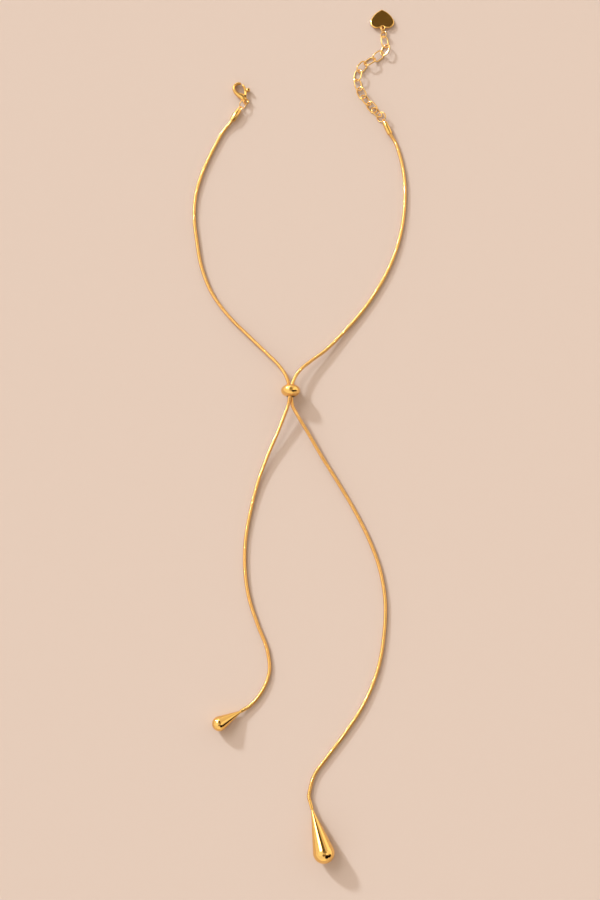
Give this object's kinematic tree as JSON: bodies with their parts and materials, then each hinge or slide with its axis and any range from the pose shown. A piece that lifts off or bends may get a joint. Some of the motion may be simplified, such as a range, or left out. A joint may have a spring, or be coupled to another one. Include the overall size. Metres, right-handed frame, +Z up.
{
  "type": "lariat necklace",
  "caption": "Gold lariat necklace of two round snake chains that cross in a sliding bead, with a teardrop on each free end, a lobster clasp and an extender with a heart tag.",
  "frame": {"origin": "on the surface that the necklace lies on, under the middle of its bounding box", "axes": "+Z up from the surface, +Y from the drops towards the clasp, +X to the right seen from above"},
  "size_m": [0.094, 0.3718, 0.0088],
  "materials": {
    "snake_chain": "polished",
    "polished_gold": "mirror polish",
    "wire_gold": "polished",
    "flat_gold": "mirror polish"
  },
  "bodies": {
    "necklace": {"left_strand": "snake_chain", "right_strand": "snake_chain", "slider_bead": "polished_gold", "large_drop": "polished_gold", "small_drop": "polished_gold", "left_end_cap": "polished_gold", "right_end_cap": "polished_gold", "clasp_ring": "wire_gold", "clasp_body": "polished_gold", "clasp_rivet": "polished_gold", "extender_ring": "wire_gold", "link_1": "wire_gold", "link_2": "wire_gold", "link_3": "wire_gold", "link_4": "wire_gold", "link_5": "wire_gold", "link_6": "wire_gold", "link_7": "wire_gold", "link_8": "wire_gold", "link_9": "wire_gold", "link_10": "wire_gold", "link_11": "wire_gold", "tag_ring_1": "wire_gold", "tag_ring_2": "wire_gold", "heart_tag": "flat_gold"},
    "lever": {"clasp_lever": "polished_gold"}
  },
  "joints": [
    {"name": "lever_turn", "type": "hinge", "parent": "necklace", "child": "lever", "pos_m": [-0.02439, 0.14334, 0.0013], "axis": [0, 0, 1], "range_deg": [0, 22], "stiffness_Nm_per_rad": 0.01, "springref_deg": -8.59}
  ]
}
